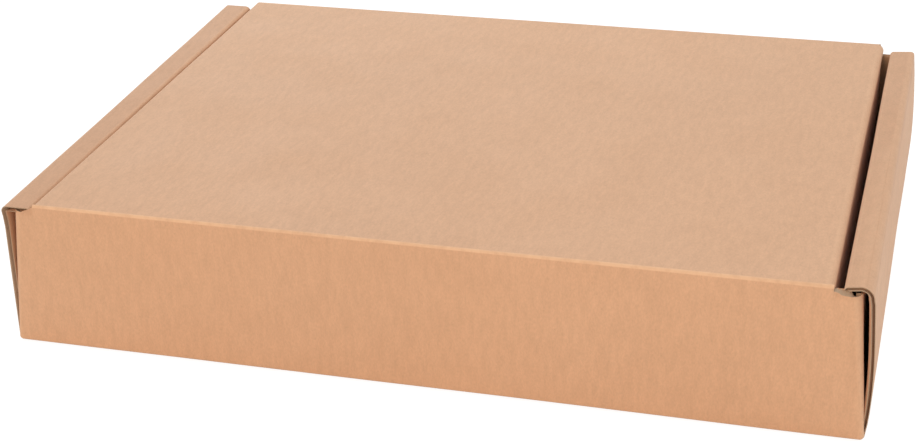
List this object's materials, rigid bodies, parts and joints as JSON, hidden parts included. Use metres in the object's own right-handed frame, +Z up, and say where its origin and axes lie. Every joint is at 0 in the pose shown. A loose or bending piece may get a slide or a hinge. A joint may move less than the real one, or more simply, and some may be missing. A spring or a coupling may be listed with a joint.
{
  "type": "folding box",
  "caption": "Shallow brown corrugated mailer box, closed, with rolled side walls, a hinged lid with tucked side flaps and a hanging front flap.",
  "frame": {"origin": "On the ground, in the middle of the box's outline.", "axes": "+X along the width, +Y from the hinge wall to the front flap, +Z up."},
  "size_m": [0.3626, 0.259, 0.066],
  "materials": {
    "kraft_board": "matte"
  },
  "bodies": {
    "tray_body": {"tray": "kraft_board"},
    "lid_body": {"lid": "kraft_board"},
    "front_flap_body": {"front_flap": "kraft_board"}
  },
  "joints": [
    {"name": "lid_hinge", "type": "hinge", "parent": "tray_body", "child": "lid_body", "pos_m": [0, -0.12825, 0.06475], "axis": [1, 0, 0], "range_deg": [0, 180]},
    {"name": "front_flap_hinge", "type": "hinge", "parent": "lid_body", "child": "front_flap_body", "pos_m": [0, 0.12825, 0.06475], "axis": [1, 0, 0], "range_deg": [0, 120]}
  ]
}
